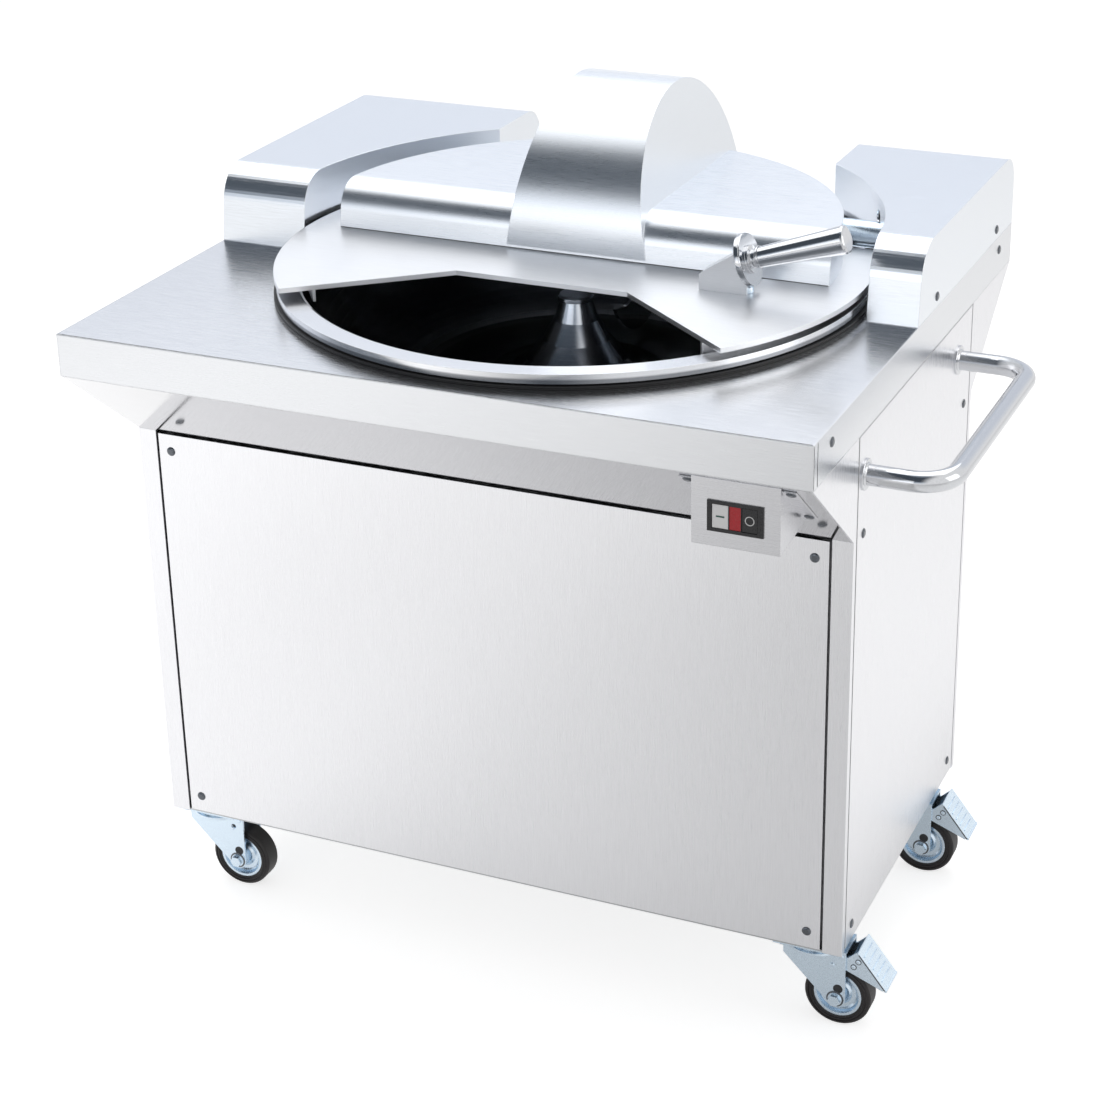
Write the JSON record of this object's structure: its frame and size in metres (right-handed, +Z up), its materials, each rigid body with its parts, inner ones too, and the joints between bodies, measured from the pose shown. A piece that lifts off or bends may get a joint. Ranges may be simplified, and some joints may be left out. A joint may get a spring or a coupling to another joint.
{
  "type": "bowl cutter",
  "caption": "Floor-standing bowl cutter on casters: turning bowl, lifting lid with knife cover, belt-driven knives, push handle, switch box",
  "frame": {"origin": "on the floor, under the middle of the machine's outer size", "axes": "+X to the machine's right seen by its user, +Y away from the user, +Z up"},
  "size_m": [0.9266, 0.72, 0.9439],
  "materials": {
    "worktop_steel": "fine brushed stainless steel, satin",
    "panel_steel": "fine brushed stainless steel, bright",
    "mirror_steel": "mirror-polished stainless steel",
    "cover_steel": "satin stainless steel, softly reflective",
    "lid_steel": "fine brushed stainless steel",
    "bowl_steel": "turned and polished stainless steel",
    "bright_steel": "polished stainless steel",
    "frame_steel": "plain square tube and sheet",
    "zinc_steel": "bright zinc plating",
    "seal_rubber": "black rubber",
    "tyre_rubber": "black rubber, matt",
    "drive_paint": "smooth machine enamel",
    "pulley_iron": "machined cast iron",
    "black_plastic": "black plastic, half gloss",
    "white_plastic": "white plastic, half gloss",
    "red_plastic": "red plastic, half gloss",
    "switch_steel": "fine brushed stainless steel"
  },
  "bodies": {
    "chassis": {"worktop": "worktop_steel", "corner_posts": "panel_steel", "incline_panels": "mirror_steel", "front_panel": "panel_steel", "rear_panel": "panel_steel", "side_panels": "panel_steel", "floor_pan": "frame_steel", "frame_uprights": "frame_steel", "frame_long_rails": "frame_steel", "frame_side_rails": "frame_steel", "left_housing": "cover_steel", "right_housing": "cover_steel", "bowl_seal_ring": "seal_rubber", "shaft_tube": "zinc_steel", "shaft_bearings": "bright_steel", "bearing_bracket": "drive_paint", "knife_motor": "drive_paint", "drive_belts": "seal_rubber", "bowl_gearmotor": "drive_paint", "bowl_bridge": "frame_steel", "bowl_bearing_housing": "drive_paint", "bowl_bearings": "bright_steel", "push_handle": "bright_steel", "handle_bolts": "zinc_steel", "switch_box": "switch_steel", "switch_frame": "black_plastic", "switch_lamp": "red_plastic", "hinge_brackets": "zinc_steel", "caster_plates": "zinc_steel", "screws": "zinc_steel", "cable_gland": "black_plastic"},
    "bowl_unit": {"bowl": "bowl_steel", "bowl_cap": "bowl_steel", "bowl_spindle": "zinc_steel"},
    "knife_unit": {"knife_shaft": "bright_steel", "knives": "bright_steel", "knife_nut": "bright_steel", "knife_pulley": "pulley_iron"},
    "motor_rotor": {"motor_pulley": "pulley_iron"},
    "lid": {"lid_plate": "lid_steel", "lid_cover": "cover_steel", "handle_bracket": "lid_steel", "handle_grip": "bright_steel", "lid_lugs": "lid_steel"},
    "start_key": {"start_button": "white_plastic"},
    "stop_key": {"stop_button": "black_plastic"},
    "caster_fl": {"fork_fl": "zinc_steel"},
    "wheel_fl": {"hub_fl": "zinc_steel", "tyre_fl": "tyre_rubber"},
    "caster_fr": {"fork_fr": "zinc_steel"},
    "wheel_fr": {"hub_fr": "zinc_steel", "tyre_fr": "tyre_rubber"},
    "caster_rl": {"fork_rl": "zinc_steel"},
    "wheel_rl": {"hub_rl": "zinc_steel", "tyre_rl": "tyre_rubber"},
    "caster_rr": {"fork_rr": "zinc_steel"},
    "wheel_rr": {"hub_rr": "zinc_steel", "tyre_rr": "tyre_rubber"},
    "brake_fr": {"pedal_fr": "zinc_steel"},
    "brake_rr": {"pedal_rr": "zinc_steel"}
  },
  "joints": [
    {"name": "bowl_turn", "type": "hinge", "parent": "chassis", "child": "bowl_unit", "pos_m": [-0.0217, -0.015, 0.691], "axis": [0, 0, 1], "continuous": true},
    {"name": "knife_spin", "type": "hinge", "parent": "chassis", "child": "knife_unit", "pos_m": [-0.0217, 0.1371, 0.792], "axis": [1, 0, 0], "continuous": true},
    {"name": "motor_spin", "type": "hinge", "parent": "chassis", "child": "motor_rotor", "pos_m": [0.3133, 0.0782, 0.225], "axis": [1, 0, 0], "continuous": true},
    {"name": "lid_hinge", "type": "hinge", "parent": "chassis", "child": "lid", "pos_m": [-0.0217, 0.335, 0.803], "axis": [-1, 0, 0], "range_deg": [0, 100]},
    {"name": "start_press", "type": "slide", "parent": "chassis", "child": "start_key", "axis": [0, 1, 0], "range_m": [0, 0.002], "stiffness_N_per_m": 400},
    {"name": "stop_press", "type": "slide", "parent": "chassis", "child": "stop_key", "axis": [0, 1, 0], "range_m": [0, 0.002], "stiffness_N_per_m": 400},
    {"name": "swivel_fl", "type": "hinge", "parent": "chassis", "child": "caster_fl", "pos_m": [-0.4207, -0.187, 0.097], "axis": [0, 0, 1], "continuous": true},
    {"name": "roll_fl", "type": "hinge", "parent": "caster_fl", "child": "wheel_fl", "pos_m": [-0.3927, -0.187, 0.0375], "axis": [0, 1, 0], "continuous": true},
    {"name": "swivel_fr", "type": "hinge", "parent": "chassis", "child": "caster_fr", "pos_m": [0.3273, -0.187, 0.097], "axis": [0, 0, 1], "continuous": true},
    {"name": "roll_fr", "type": "hinge", "parent": "caster_fr", "child": "wheel_fr", "pos_m": [0.3553, -0.187, 0.0375], "axis": [0, 1, 0], "continuous": true},
    {"name": "swivel_rl", "type": "hinge", "parent": "chassis", "child": "caster_rl", "pos_m": [-0.4207, 0.143, 0.097], "axis": [0, 0, 1], "continuous": true},
    {"name": "roll_rl", "type": "hinge", "parent": "caster_rl", "child": "wheel_rl", "pos_m": [-0.3927, 0.143, 0.0375], "axis": [0, 1, 0], "continuous": true},
    {"name": "swivel_rr", "type": "hinge", "parent": "chassis", "child": "caster_rr", "pos_m": [0.3273, 0.143, 0.097], "axis": [0, 0, 1], "continuous": true},
    {"name": "roll_rr", "type": "hinge", "parent": "caster_rr", "child": "wheel_rr", "pos_m": [0.3553, 0.143, 0.0375], "axis": [0, 1, 0], "continuous": true},
    {"name": "brake_fr", "type": "hinge", "parent": "caster_fr", "child": "brake_fr", "pos_m": [0.3533, -0.187, 0.0837], "axis": [0, 1, 0], "range_deg": [0, 10]},
    {"name": "brake_rr", "type": "hinge", "parent": "caster_rr", "child": "brake_rr", "pos_m": [0.3533, 0.143, 0.0837], "axis": [0, 1, 0], "range_deg": [0, 10]}
  ],
  "couplings": [
    {"joint": "motor_spin", "follows": "knife_spin", "ratio": 0.75556}
  ]
}
